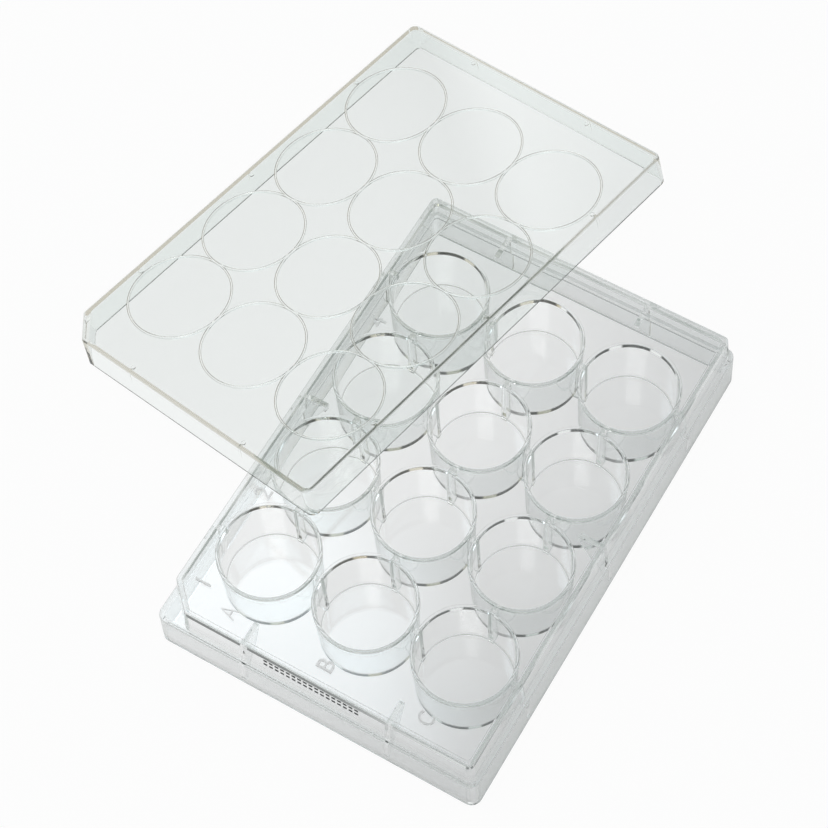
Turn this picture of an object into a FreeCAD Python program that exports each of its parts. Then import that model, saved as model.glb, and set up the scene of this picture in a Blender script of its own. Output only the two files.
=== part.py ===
import FreeCAD, Part
import math
import os
import Sketcher

# A clear twelve-well culture plate and its lid. Both are single mouldings. The lid has been
# lifted off and leans on the plate. Millimetres and degrees; +Z is up, X runs along the columns
# 1 to 4, +Y points to row A, and the origin is the middle of the plate's footprint on the table.

doc = FreeCAD.newDocument("WellPlate")

# ---------------------------------------------------------------------------------------------
# Driving dimensions
# ---------------------------------------------------------------------------------------------

SIZES = [
    # the outer frame of the plate
    ("end_margin", 13.28, "from the mouths of an outer column to the outside of the foot"),
    ("side_margin", 5.145, "from the mouths of an outer row to the outside of the foot"),
    ("footprint_corner", 2.6, "outside corner radius at the foot"),
    ("skirt_height", 11.3, "height of the ledge round the plate"),
    ("skirt_draft", 1.2, "draft of the wall below the ledge, degrees"),
    ("ledge_width", 1.0, "flat of the ledge that the lid's edge comes down to"),
    ("frame_height", 19.5, "height of the top of the frame"),
    ("frame_draft", 5.2, "draft of the wall above the ledge, degrees"),
    ("frame_corner", 1.9, "outside corner radius of the wall above the ledge"),
    ("notch_leg", 6.9, "leg of the cut corner beside well A1, at the ledge"),
    ("frame_wall", 1.35, "thickness of the outer walls"),
    ("frame_round", 0.3, "rounding of the frame's top edges"),
    # the deck between the wells
    ("deck_drop", 1.3, "how far the deck lies below the top of the frame"),
    ("deck_thickness", 1.2, "thickness of the deck"),
    # the wells
    ("well_columns", 4, "wells along the length"),
    ("well_rows", 3, "wells across the width"),
    ("well_mouth", 23.17, "inside diameter at the mouth"),
    ("well_gap", 2.84, "between the mouths of neighbouring wells"),
    ("well_taper", 0.67, "how much narrower a well is at its floor"),
    ("well_wall", 0.6, "thickness of the well's wall"),
    ("floor_clear", 2.2, "air under the floor of a well"),
    ("floor_thickness", 1.15, "thickness of the floor of a well"),
    ("floor_round", 0.5, "rounding between floor and wall, inside"),
    ("base_round", 0.35, "rounding of the bottom edge, outside"),
    ("rim_width", 0.83, "width of the raised rim round a mouth"),
    ("rim_rise", 0.57, "height of that rim above the deck"),
    ("rim_round", 0.2, "rounding of the rim's two edges"),
    # the ribs under the deck
    ("web_thickness", 1.4, "webs that join neighbouring wells"),
    ("web_clear", 1.4, "air under the webs"),
    ("gusset_thickness", 1.3, "gussets between the deck and the outer walls"),
    ("gusset_reach", 6.7, "how far a gusset reaches in from the frame's top edge"),
    ("gusset_clear", 2.0, "air under the gussets"),
    ("gusset_offset", 19.2, "gussets of the short sides, from the middle"),
    # the raised row letters and column numbers
    ("glyph_width", 2.6, "width of a letter or number"),
    ("glyph_height", 4.0, "height of a letter or number"),
    ("glyph_rise", 0.25, "how far it stands up from the deck"),
    ("letter_offset", 17.3, "letters, from the middle of column 1"),
    ("number_offset_x", 13.9, "numbers, from the middle of their column"),
    ("number_offset_y", 9.1, "numbers, from the middle of row A"),
    # the lid
    ("lid_clearance", 0.2, "play between the frame and the lid's wall"),
    ("lid_height", 9.0, "height of the lid"),
    ("lid_panel", 1.25, "thickness of the lid's flat top"),
    ("lid_edge", 0.76, "thickness of the lid's wall at its lower edge"),
    ("lid_draft", 2.0, "draft of the lid's outside, degrees"),
    ("lid_corner", 2.1, "outside corner radius of the lid"),
    ("lid_notch_leg", 6.5, "leg of the lid's cut corner, outside"),
    ("lid_round", 0.45, "rounding of the lid's top edge"),
    ("nub_height", 0.3, "stand-offs that hold the lid off the frame"),
    ("nub_diameter", 1.1, "diameter of a stand-off"),
    ("rib_width", 0.7, "width of the small ribs below the stand-offs"),
    ("rib_rise", 0.15, "how far such a rib stands out from the wall at its top"),
    ("rib_length", 3.8, "length of such a rib down the wall"),
    ("ring_clearance", 0.3, "play between a well's rim and the ring round it"),
    ("ring_width", 0.45, "thickness of a ring under the lid"),
    ("ring_depth", 0.5, "how far a ring hangs under the lid's top"),
    # where the lid leans
    ("lean_turn", -11.79, "turn of the lid about the vertical, degrees"),
    ("lean_x", 41.98, "middle of the lid's top, along X"),
    ("lean_y", 48.99, "middle of the lid's top, along Y"),
    ("lean_gap", 0.1, "air at each of the three places where the lid rests"),
]

sheet = doc.addObject("Spreadsheet::Sheet", "Sizes")
for line, (alias, value, note) in enumerate(SIZES, start=1):
    sheet.set(f"A{line}", note)
    sheet.set(f"B{line}", str(value))
    sheet.setAlias(f"B{line}", alias)
doc.recompute()

# Sizes that follow from the driving ones, as expressions. Half lengths run along X, half widths
# along Y, and heights are above the table. The plate is built round its grid of wells, which
# brings it to the standard footprint of 127.76 by 85.48.
PITCH = "(Sizes.well_mouth + Sizes.well_gap)"
WELL_FLOOR = "(Sizes.well_mouth - Sizes.well_taper)"
FIRST_COLUMN = f"(-(Sizes.well_columns - 1) / 2 * {PITCH})"
FIRST_ROW = f"((Sizes.well_rows - 1) / 2 * {PITCH})"
SKIRT_HALF = {
    "x": f"(Sizes.well_mouth / 2 + Sizes.end_margin - {FIRST_COLUMN})",
    "y": f"({FIRST_ROW} + Sizes.well_mouth / 2 + Sizes.side_margin)",
}
LEDGE_INSET = "(Sizes.skirt_height * tan(Sizes.skirt_draft) + Sizes.ledge_width)"
FOOT_HALF = {axis: f"({half} - {LEDGE_INSET})" for axis, half in SKIRT_HALF.items()}
FRAME_RISE = "(Sizes.frame_height - Sizes.skirt_height)"
FRAME_TAPER = f"({FRAME_RISE} * tan(Sizes.frame_draft))"
TOP_HALF = {axis: f"({half} - {FRAME_TAPER})" for axis, half in FOOT_HALF.items()}
DECK_TOP = "(Sizes.frame_height - Sizes.deck_drop)"
DECK_UNDER = f"({DECK_TOP} - Sizes.deck_thickness)"
RIM_TOP = f"({DECK_TOP} + Sizes.rim_rise)"
RIM_RADIUS = "(Sizes.well_mouth / 2 + Sizes.rim_width)"
FLOOR_TOP = "(Sizes.floor_clear + Sizes.floor_thickness)"
# Growing a cut corner's outline by d on every side makes its leg longer by this share of d.
LEG_SHARE = 2 - math.sqrt(2)


# ---------------------------------------------------------------------------------------------
# Sketch helpers
# ---------------------------------------------------------------------------------------------

def number(expression):
    """The value of an expression over the sheet, as a plain number."""
    return float(sheet.evalExpression(expression))


def origin(body, role):
    """A plane or an axis of a body's own origin."""
    return next(item for item in body.Origin.OriginFeatures if item.Role == role)


def new_sketch(body, name, role, along="0", lift="0"):
    """An empty sketch on an origin plane, shifted along its own x axis and its normal."""
    sketch = body.newObject("Sketcher::SketchObject", name)
    sketch.AttachmentSupport = [(origin(body, role), "")]
    sketch.MapMode = "FlatFace"
    sketch.setExpression("AttachmentOffset.Base.x", along)
    sketch.setExpression("AttachmentOffset.Base.z", lift)
    return sketch


def pin_point(sketch, item, end, x, y):
    """Fix a point of the sketch at (x, y), which are expressions."""
    for kind, expression, axis in (("DistanceX", x, -2), ("DistanceY", y, -1)):
        if expression == "0":
            sketch.addConstraint(Sketcher.Constraint("PointOnObject", item, end, axis))
        else:
            rule = Sketcher.Constraint(kind, -1, 1, item, end, number(expression))
            index = sketch.addConstraint(rule)
            sketch.setExpression(f"Constraints[{index}]", expression)


def corner_arc(before, spot, after, radius):
    """Where an arc of that radius, set into a corner, starts and ends, and its middle point."""
    back = (before - spot).normalize()
    ahead = (after - spot).normalize()
    half = back.getAngle(ahead) / 2
    reach = radius / math.tan(half)
    centre = spot + (back + ahead).normalize() * (radius / math.sin(half))
    middle = centre + (spot - centre).normalize() * radius
    return spot + back * reach, middle, spot + ahead * reach


def draw(sketch, corners):
    """A closed outline through corners (x, y) or (x, y, radius), all given as expressions."""
    spots = [FreeCAD.Vector(number(corner[0]), number(corner[1]), 0) for corner in corners]
    arcs = []
    for index, corner in enumerate(corners):
        spot = spots[index]
        arc = (spot, spot, spot)
        if len(corner) == 3:
            after = spots[(index + 1) % len(spots)]
            arc = corner_arc(spots[index - 1], spot, after, number(corner[2]))
        arcs.append(arc)
    sides = []
    for index, arc in enumerate(arcs):
        following = arcs[(index + 1) % len(arcs)]
        sides.append(sketch.addGeometry(Part.LineSegment(arc[2], following[0]), False))
    for index, corner in enumerate(corners):
        before, after = sides[index - 1], sides[index]
        if len(corner) == 2:
            sketch.addConstraint(Sketcher.Constraint("Coincident", before, 2, after, 1))
            pin_point(sketch, after, 1, corner[0], corner[1])
            continue
        bend = sketch.addGeometry(Part.Arc(*arcs[index]), False)
        starts_here = sketch.getPoint(bend, 1).isEqual(arcs[index][0], 1e-6)
        first, last = (1, 2) if starts_here else (2, 1)
        anchor = sketch.addGeometry(Part.Point(spots[index]), True)
        sketch.addConstraint([
            Sketcher.Constraint("Tangent", before, 2, bend, first),
            Sketcher.Constraint("Tangent", bend, last, after, 1),
            Sketcher.Constraint("PointOnObject", anchor, 1, before),
            Sketcher.Constraint("PointOnObject", anchor, 1, after),
        ])
        radius = sketch.addConstraint(Sketcher.Constraint("Radius", bend, number(corner[2])))
        sketch.setExpression(f"Constraints[{radius}]", corner[2])
        pin_point(sketch, anchor, 1, corner[0], corner[1])


def disc(sketch, x, y, radius):
    """A circle of the given radius round (x, y)."""
    centre = FreeCAD.Vector(number(x), number(y), 0)
    ring = sketch.addGeometry(Part.Circle(centre, FreeCAD.Vector(0, 0, 1), number(radius)), False)
    index = sketch.addConstraint(Sketcher.Constraint("Radius", ring, number(radius)))
    sketch.setExpression(f"Constraints[{index}]", radius)
    pin_point(sketch, ring, 3, x, y)


def plate_outline(half, radius, leg=None):
    """The corners of a rectangle with round corners and, if leg is given, one cut corner."""
    x, y = half["x"], half["y"]
    corners = [(x, y, radius), (f"-{x}", f"-{y}", radius), (x, f"-{y}", radius)]
    if leg is None:
        corners.insert(1, (f"-{x}", y, radius))
    else:
        corners.insert(1, (f"-{x}", f"({y} - {leg})"))
        corners.insert(1, (f"({leg} - {x})", y))
    return corners


def inset(half, depth):
    """Half sizes moved in by a depth."""
    return {axis: f"({size} - {depth})" for axis, size in half.items()}


# ---------------------------------------------------------------------------------------------
# Feature helpers
# ---------------------------------------------------------------------------------------------

def volume(body):
    """The volume of a body so far, or nothing while it is empty."""
    doc.recompute()
    return body.Shape.Volume if body.Tip else 0.0


def add(body, name, sketch, length, taper="0", middle=False):
    """Pad a sketch by a length, drawn in by a draft."""
    start = volume(body)
    pad = body.newObject("PartDesign::Pad", name)
    pad.Profile = sketch
    pad.setExpression("Length", length)
    pad.setExpression("TaperAngle", f"-{taper}")
    pad.Midplane = middle
    if volume(body) <= start:
        raise RuntimeError(f"{name} adds nothing")
    return pad


def cut(body, name, sketch, length, upward=False, taper="0"):
    """Cut a sketch away over a length, drawn in by a draft."""
    start = volume(body)
    pocket = body.newObject("PartDesign::Pocket", name)
    pocket.Profile = sketch
    pocket.setExpression("Length", length)
    pocket.setExpression("TaperAngle", f"-{taper}")
    pocket.Reversed = upward
    if volume(body) >= start:
        raise RuntimeError(f"{name} cuts nothing")
    return pocket


def turn(body, name, sketch, kind):
    """Turn a profile right round its own vertical axis, adding or removing material."""
    feature = body.newObject(f"PartDesign::{kind}", name)
    feature.Profile = sketch
    feature.ReferenceAxis = (sketch, ["V_Axis"])
    feature.Angle = 360
    doc.recompute()
    return feature


def repeat(body, name, feature, *steps):
    """Repeat a feature along +X or -Y or both. A step is an axis, a count and a spacing."""
    pattern = body.newObject("PartDesign::LinearPattern", name)
    pattern.Originals = [feature]
    for suffix, (axis, count, spacing) in zip(("", "2"), steps):
        setattr(pattern, f"Direction{suffix}", (origin(body, f"{axis}_Axis"), [""]))
        setattr(pattern, f"Reversed{suffix}", axis == "Y")
        pattern.setExpression(f"Occurrences{suffix}", count)
        pattern.setExpression(f"Length{suffix}", f"({count} - 1) * {spacing}")
    body.Tip = pattern
    doc.recompute()
    return pattern


def round_edges(body, name, radius, chosen):
    """Round every edge of the body that the given test picks."""
    doc.recompute()
    base = body.Tip
    names = [f"Edge{i}" for i, edge in enumerate(base.Shape.Edges, start=1) if chosen(edge)]
    fillet = body.newObject("PartDesign::Fillet", name)
    fillet.Base = (base, names)
    fillet.setExpression("Radius", radius)
    doc.recompute()
    return fillet


def level(edge, height):
    """Whether an edge lies flat at a height."""
    box = edge.BoundBox
    return abs(box.ZMin - height) < 1e-4 and abs(box.ZMax - height) < 1e-4


# ---------------------------------------------------------------------------------------------
# The plate
# ---------------------------------------------------------------------------------------------

plate = doc.addObject("PartDesign::Body", "plate")
plate.Label = "plate"

# The outside: a skirt up to the ledge, and above it a narrower frame with one cut corner.
sketch = new_sketch(plate, "SkirtOutline", "XY_Plane")
draw(sketch, plate_outline(SKIRT_HALF, "Sizes.footprint_corner"))
add(plate, "Skirt", sketch, "Sizes.skirt_height", "Sizes.skirt_draft")

sketch = new_sketch(plate, "FrameOutline", "XY_Plane", lift="Sizes.skirt_height")
draw(sketch, plate_outline(FOOT_HALF, "Sizes.frame_corner", "Sizes.notch_leg"))
add(plate, "Frame", sketch, FRAME_RISE, "Sizes.frame_draft")

# The shallow recess over the deck. Its cut corner keeps the wall's thickness.
TOP_LEG = f"(Sizes.notch_leg - {LEG_SHARE} * {FRAME_TAPER})"
RECESS_LEG = f"({TOP_LEG} - {LEG_SHARE} * Sizes.frame_wall)"
INNER_CORNER = "(Sizes.frame_corner / 2)"
sketch = new_sketch(plate, "RecessOutline", "XY_Plane", lift="Sizes.frame_height")
draw(sketch, plate_outline(inset(TOP_HALF, "Sizes.frame_wall"), INNER_CORNER, RECESS_LEG))
cut(plate, "Recess", sketch, "Sizes.deck_drop")

# The hollow below: a wide part inside the skirt, then a narrower one up to the deck.
SKIRT_CEILING = "(Sizes.skirt_height - Sizes.frame_wall)"
sketch = new_sketch(plate, "SkirtHollowOutline", "XY_Plane")
draw(sketch, plate_outline(inset(SKIRT_HALF, "Sizes.frame_wall"), INNER_CORNER))
cut(plate, "SkirtHollow", sketch, SKIRT_CEILING, True, "Sizes.skirt_draft")

HOLLOW_INSET = "(Sizes.frame_wall * (1 - tan(Sizes.frame_draft)))"
HOLLOW_LEG = f"(Sizes.notch_leg - {LEG_SHARE} * {HOLLOW_INSET})"
sketch = new_sketch(plate, "FrameHollowOutline", "XY_Plane", lift=SKIRT_CEILING)
draw(sketch, plate_outline(inset(FOOT_HALF, HOLLOW_INSET), INNER_CORNER, HOLLOW_LEG))
cut(plate, "FrameHollow", sketch, f"({DECK_UNDER} - {SKIRT_CEILING})", True, "Sizes.frame_draft")

# The outside of a well, from its floor to the raised rim, turned and repeated over the grid.
OUTER_MOUTH = "(Sizes.well_mouth / 2 + Sizes.well_wall)"
OUTER_FLOOR = f"({WELL_FLOOR} / 2 + Sizes.well_wall)"
GRID_X = ("X", "Sizes.well_columns", PITCH)
GRID_Y = ("Y", "Sizes.well_rows", PITCH)
sketch = new_sketch(plate, "CupProfile", "XZ_Plane", FIRST_COLUMN, f"-{FIRST_ROW}")
draw(sketch, [
    ("0", "Sizes.floor_clear"),
    (OUTER_FLOOR, "Sizes.floor_clear", "Sizes.base_round"),
    (OUTER_MOUTH, DECK_UNDER),
    (OUTER_MOUTH, f"({DECK_TOP} - Sizes.deck_thickness / 2)"),
    (RIM_RADIUS, f"({DECK_TOP} - Sizes.deck_thickness / 2)"),
    (RIM_RADIUS, RIM_TOP),
    ("0", RIM_TOP),
])
cup = turn(plate, "Cup", sketch, "Revolution")
repeat(plate, "Cups", cup, GRID_X, GRID_Y)

# Webs join each well to its neighbours along the rows and along the columns.
WEB_HALF = f"({PITCH} / 2 - {WELL_FLOOR} / 2 - Sizes.well_wall / 2)"
WEB_RISE = f"({DECK_TOP} - Sizes.deck_thickness / 2 - Sizes.web_clear)"
HALF_WEB = "(Sizes.web_thickness / 2)"
BETWEEN_COLUMNS = f"({FIRST_COLUMN} + {PITCH} / 2)"
BETWEEN_ROWS = f"({FIRST_ROW} - {PITCH} / 2)"


def box_corners(x, y, half_x, half_y):
    """The corners of a plain rectangle round (x, y)."""
    return [
        (f"({x} + {half_x})", f"({y} + {half_y})"),
        (f"({x} - {half_x})", f"({y} + {half_y})"),
        (f"({x} - {half_x})", f"({y} - {half_y})"),
        (f"({x} + {half_x})", f"({y} - {half_y})"),
    ]


sketch = new_sketch(plate, "RowWebOutline", "XY_Plane", lift="Sizes.web_clear")
draw(sketch, box_corners(BETWEEN_COLUMNS, FIRST_ROW, WEB_HALF, HALF_WEB))
web = add(plate, "RowWeb", sketch, WEB_RISE)
repeat(plate, "RowWebs", web, ("X", "(Sizes.well_columns - 1)", PITCH), GRID_Y)

sketch = new_sketch(plate, "ColumnWebOutline", "XY_Plane", lift="Sizes.web_clear")
draw(sketch, box_corners(FIRST_COLUMN, BETWEEN_ROWS, HALF_WEB, WEB_HALF))
web = add(plate, "ColumnWeb", sketch, WEB_RISE)
repeat(plate, "ColumnWebs", web, GRID_X, ("Y", "(Sizes.well_rows - 1)", PITCH))

# Gussets tie the deck to the outer walls. Their outer edge steps out under the ledge, so that
# it stays inside the wall all the way down.
GUSSET_STEP = "(Sizes.skirt_height - Sizes.frame_wall / 2)"


def gusset_corners(axis, inner, side):
    """One gusset's outline across a wall, on the + or - side of the plate."""
    upper = f"({TOP_HALF[axis]} - Sizes.frame_wall / 4)"
    lower = f"({SKIRT_HALF[axis]} - {LEDGE_INSET} + Sizes.ledge_width / 2)"
    top = f"({DECK_TOP} - Sizes.deck_thickness / 2)"
    return [
        (f"({side} * {inner})", "Sizes.gusset_clear"),
        (f"({side} * {lower})", "Sizes.gusset_clear"),
        (f"({side} * {lower})", GUSSET_STEP),
        (f"({side} * {upper})", GUSSET_STEP),
        (f"({side} * {upper})", top),
        (f"({side} * {inner})", top),
    ]


FREE_END = {axis: f"({half} - Sizes.gusset_reach)" for axis, half in TOP_HALF.items()}
WELL_END = f"({FIRST_ROW} + (Sizes.well_mouth + {WELL_FLOOR}) / 4 + Sizes.well_wall / 2)"

sketch = new_sketch(plate, "EndGussetOutline", "XZ_Plane", lift="-Sizes.gusset_offset")
draw(sketch, gusset_corners("x", FREE_END["x"], 1))
draw(sketch, gusset_corners("x", FREE_END["x"], -1))
gusset = add(plate, "EndGusset", sketch, "Sizes.gusset_thickness", middle=True)
repeat(plate, "EndGussets", gusset, ("Y", "2", "(2 * Sizes.gusset_offset)"))

sketch = new_sketch(plate, "MiddleGussetOutline", "YZ_Plane")
draw(sketch, gusset_corners("y", FREE_END["y"], 1))
draw(sketch, gusset_corners("y", FREE_END["y"], -1))
add(plate, "MiddleGusset", sketch, "Sizes.gusset_thickness", middle=True)

sketch = new_sketch(plate, "WellGussetOutline", "YZ_Plane", lift=FIRST_COLUMN)
draw(sketch, gusset_corners("y", WELL_END, 1))
draw(sketch, gusset_corners("y", WELL_END, -1))
gusset = add(plate, "WellGusset", sketch, "Sizes.gusset_thickness", middle=True)
repeat(plate, "WellGussets", gusset, ("X", "2", f"(-2 * {FIRST_COLUMN})"))

# The inside of a well, cut last so that nothing reaches into it.
sketch = new_sketch(plate, "BoreProfile", "XZ_Plane", FIRST_COLUMN, f"-{FIRST_ROW}")
draw(sketch, [
    ("0", FLOOR_TOP),
    (f"({WELL_FLOOR} / 2)", FLOOR_TOP, "Sizes.floor_round"),
    ("(Sizes.well_mouth / 2)", RIM_TOP),
    ("(Sizes.well_mouth / 2)", f"({RIM_TOP} + 1)"),
    ("0", f"({RIM_TOP} + 1)"),
])
bore = turn(plate, "Bore", sketch, "Groove")
repeat(plate, "Bores", bore, GRID_X, GRID_Y)

# Raised letters name the rows and numbers name the columns. Each glyph is drawn on a unit
# square, as its outside and its holes.
GLYPHS = {
    "A": [[(0, 0), (0.2, 0), (0.29, 0.24), (0.71, 0.24), (0.8, 0), (1, 0), (0.6, 1), (0.4, 1)],
          [(0.36, 0.38), (0.64, 0.38), (0.5, 0.76)]],
    "B": [[(0, 0), (0.8, 0), (1, 0.12), (1, 0.42), (0.88, 0.52), (0.95, 0.62), (0.95, 0.88),
           (0.75, 1), (0, 1)],
          [(0.2, 0.13), (0.72, 0.13), (0.8, 0.2), (0.8, 0.38), (0.7, 0.45), (0.2, 0.45)],
          [(0.2, 0.58), (0.68, 0.58), (0.76, 0.65), (0.76, 0.8), (0.68, 0.87), (0.2, 0.87)]],
    "C": [[(0.25, 0), (0.75, 0), (1, 0.18), (0.86, 0.29), (0.68, 0.14), (0.32, 0.14),
           (0.2, 0.24), (0.2, 0.76), (0.32, 0.86), (0.68, 0.86), (0.86, 0.71), (1, 0.82),
           (0.75, 1), (0.25, 1), (0, 0.82), (0, 0.18)]],
    "1": [[(0.42, 0), (0.62, 0), (0.62, 1), (0.46, 1), (0.2, 0.8), (0.2, 0.66), (0.42, 0.8)]],
    "2": [[(0, 0), (1, 0), (1, 0.13), (0.3, 0.13), (0.95, 0.55), (0.95, 0.84), (0.72, 1),
           (0.25, 1), (0, 0.84), (0.12, 0.74), (0.32, 0.87), (0.65, 0.87), (0.76, 0.78),
           (0.76, 0.6), (0, 0.12)]],
    "3": [[(0.25, 0), (0.72, 0), (0.96, 0.16), (0.96, 0.4), (0.8, 0.51), (0.96, 0.62),
           (0.96, 0.85), (0.72, 1), (0.25, 1), (0.04, 0.86), (0.15, 0.75), (0.32, 0.87),
           (0.66, 0.87), (0.76, 0.79), (0.76, 0.66), (0.64, 0.57), (0.4, 0.57), (0.4, 0.45),
           (0.64, 0.45), (0.76, 0.36), (0.76, 0.21), (0.66, 0.13), (0.32, 0.13), (0.15, 0.25),
           (0.04, 0.14)]],
    "4": [[(0.6, 0), (0.8, 0), (0.8, 0.22), (1, 0.22), (1, 0.35), (0.8, 0.35), (0.8, 1),
           (0.62, 1), (0, 0.34), (0, 0.22), (0.6, 0.22)],
          [(0.24, 0.35), (0.6, 0.35), (0.6, 0.74)]],
}


def raise_glyph(sign, x, y):
    """Raise one letter or number from the deck, its middle at (x, y)."""
    sketch = new_sketch(plate, f"Outline{sign}", "XY_Plane", lift=f"({DECK_TOP} - Sizes.glyph_rise)")
    for outline in GLYPHS[sign]:
        draw(sketch, [
            (f"({x} + ({across} - 0.5) * Sizes.glyph_width)",
             f"({y} + ({up} - 0.5) * Sizes.glyph_height)")
            for across, up in outline
        ])
    add(plate, f"Glyph{sign}", sketch, "(2 * Sizes.glyph_rise)")


for row in range(int(number("Sizes.well_rows"))):
    raise_glyph("ABC"[row], f"({FIRST_COLUMN} - Sizes.letter_offset)",
                f"({FIRST_ROW} - {row} * {PITCH})")
for column in range(int(number("Sizes.well_columns"))):
    raise_glyph("1234"[column],
                f"({FIRST_COLUMN} + {column} * {PITCH} - Sizes.number_offset_x)",
                f"({FIRST_ROW} + Sizes.number_offset_y)")

# Softened edges: the rims of the wells and the top of the frame.
rim_top = number(RIM_TOP)
frame_top = number("Sizes.frame_height")
round_edges(plate, "RimRounding", "Sizes.rim_round", lambda edge: level(edge, rim_top))
round_edges(plate, "FrameRounding", "Sizes.frame_round", lambda edge: level(edge, frame_top))

# ---------------------------------------------------------------------------------------------
# The lid, drawn about the middle of its flat top
# ---------------------------------------------------------------------------------------------

lid = doc.addObject("PartDesign::Body", "lid")
lid.Label = "lid"

# Seated, the lid's top rests on the frame by its stand-offs, so its inside takes the frame's
# size and draft at that height.
LID_DEPTH = "(Sizes.lid_height - Sizes.lid_panel)"
LID_GROWTH = f"(({LID_DEPTH} - Sizes.nub_height) * tan(Sizes.frame_draft) + Sizes.lid_clearance)"
LID_INNER = {axis: f"({half} + {LID_GROWTH})" for axis, half in TOP_HALF.items()}
LID_OUTER = {axis: f"({half} + Sizes.lid_edge)" for axis, half in LID_INNER.items()}
LID_INNER_LEG = f"({TOP_LEG} + {LEG_SHARE} * {LID_GROWTH})"

sketch = new_sketch(lid, "LidOutline", "XY_Plane", lift="-Sizes.lid_height")
draw(sketch, plate_outline(LID_OUTER, "Sizes.lid_corner", "Sizes.lid_notch_leg"))
add(lid, "LidBlock", sketch, "Sizes.lid_height", "Sizes.lid_draft")
round_edges(lid, "LidRounding", "Sizes.lid_round", lambda edge: level(edge, 0))

sketch = new_sketch(lid, "LidHollowOutline", "XY_Plane", lift="-Sizes.lid_height")
draw(sketch, plate_outline(LID_INNER, "(Sizes.lid_corner - Sizes.lid_edge)", LID_INNER_LEG))
cut(lid, "LidHollow", sketch, LID_DEPTH, True, "Sizes.frame_draft")

# A ring under the top surrounds the rim of each well. Its lower edge is half round.
RING_INNER = f"({RIM_RADIUS} + Sizes.ring_clearance)"
RING_OUTER = f"({RING_INNER} + Sizes.ring_width)"
RING_LOW = "(-Sizes.lid_panel - Sizes.ring_depth)"
RING_ROUND = "(Sizes.ring_width * 0.45)"
sketch = new_sketch(lid, "RingProfile", "XZ_Plane", FIRST_COLUMN, f"-{FIRST_ROW}")
draw(sketch, [
    (RING_INNER, "(-Sizes.lid_panel / 2)"),
    (RING_INNER, RING_LOW, RING_ROUND),
    (RING_OUTER, RING_LOW, RING_ROUND),
    (RING_OUTER, "(-Sizes.lid_panel / 2)"),
])
ring = turn(lid, "Ring", sketch, "Revolution")
repeat(lid, "Rings", ring, GRID_X, GRID_Y)

# Stand-offs rest on the middle of the frame's top edge, over the gussets.
RAIL = {axis: f"({half} - Sizes.frame_wall / 2)" for axis, half in TOP_HALF.items()}
LONG_STEPS = (("X", "3", f"(-{FIRST_COLUMN})"), ("Y", "2", f"(2 * {RAIL['y']})"))
END_STEPS = (("X", "2", f"(2 * {RAIL['x']})"), ("Y", "2", "(2 * Sizes.gusset_offset)"))
NUB_LOW = "(-Sizes.lid_panel - Sizes.nub_height)"
NUB_LENGTH = "(Sizes.nub_height + Sizes.lid_panel / 2)"
sketch = new_sketch(lid, "LongNubOutline", "XY_Plane", lift=NUB_LOW)
disc(sketch, FIRST_COLUMN, RAIL["y"], "(Sizes.nub_diameter / 2)")
nub = add(lid, "LongNub", sketch, NUB_LENGTH)
repeat(lid, "LongNubs", nub, *LONG_STEPS)

sketch = new_sketch(lid, "EndNubOutline", "XY_Plane", lift=NUB_LOW)
disc(sketch, f"-{RAIL['x']}", "Sizes.gusset_offset", "(Sizes.nub_diameter / 2)")
nub = add(lid, "EndNub", sketch, NUB_LENGTH)
repeat(lid, "EndNubs", nub, *END_STEPS)


# Below each stand-off a small rib runs down the inside of the wall and fades out.
def rib_corners(axis, side):
    """One rib's outline across a wall, on the + or - side of the lid."""
    low = "(Sizes.lid_height - Sizes.lid_panel - Sizes.rib_length)"
    top_face = f"({LID_INNER[axis]} - {LID_DEPTH} * tan(Sizes.frame_draft))"
    low_face = f"({LID_INNER[axis]} - {low} * tan(Sizes.frame_draft))"
    return [
        (f"({side} * ({top_face} - Sizes.rib_rise))", "(-Sizes.lid_panel / 2)"),
        (f"({side} * ({top_face} - Sizes.rib_rise))", "(-Sizes.lid_panel)"),
        (f"({side} * {low_face})", "(-Sizes.lid_panel - Sizes.rib_length)"),
        (f"({side} * ({low_face} + Sizes.lid_edge / 2))", "(-Sizes.lid_panel - Sizes.rib_length)"),
        (f"({side} * ({low_face} + Sizes.lid_edge / 2))", "(-Sizes.lid_panel / 2)"),
    ]


sketch = new_sketch(lid, "LongRibOutline", "YZ_Plane", lift=FIRST_COLUMN)
draw(sketch, rib_corners("y", 1))
draw(sketch, rib_corners("y", -1))
rib = add(lid, "LongRib", sketch, "Sizes.rib_width", middle=True)
repeat(lid, "LongRibs", rib, LONG_STEPS[0])

sketch = new_sketch(lid, "EndRibOutline", "XZ_Plane", lift="-Sizes.gusset_offset")
draw(sketch, rib_corners("x", 1))
draw(sketch, rib_corners("x", -1))
rib = add(lid, "EndRib", sketch, "Sizes.rib_width", middle=True)
repeat(lid, "EndRibs", rib, END_STEPS[1])


# ---------------------------------------------------------------------------------------------
# How the lid leans
# ---------------------------------------------------------------------------------------------
# It rests at three places: its far corner on the table, the underside of its top on the far
# left corner of the frame, and the edge of its near wall on the frame's left side.

def lean(height, roll, pitch):
    """The lid's placement at a height, rolled about its own X axis and pitched about its Y."""
    turned = FreeCAD.Rotation(FreeCAD.Vector(0, 0, 1), number("Sizes.lean_turn"))
    pitched = FreeCAD.Rotation(FreeCAD.Vector(0, 1, 0), pitch)
    rolled = FreeCAD.Rotation(FreeCAD.Vector(1, 0, 0), roll)
    place = FreeCAD.Vector(number("Sizes.lean_x"), number("Sizes.lean_y"), height)
    return FreeCAD.Placement(place, turned * pitched * rolled)


def table_gap(place):
    """Height of the lowest point of the lid's rounded far corner."""
    radius = number("Sizes.lid_corner")
    corner = FreeCAD.Vector(number(LID_OUTER["x"]) - radius, number(LID_OUTER["y"]) - radius,
                            -number("Sizes.lid_height"))
    down = place.Rotation.inverted().multVec(FreeCAD.Vector(0, 0, -1))
    down.z = 0
    return place.multVec(corner + down.normalize() * radius).z


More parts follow.
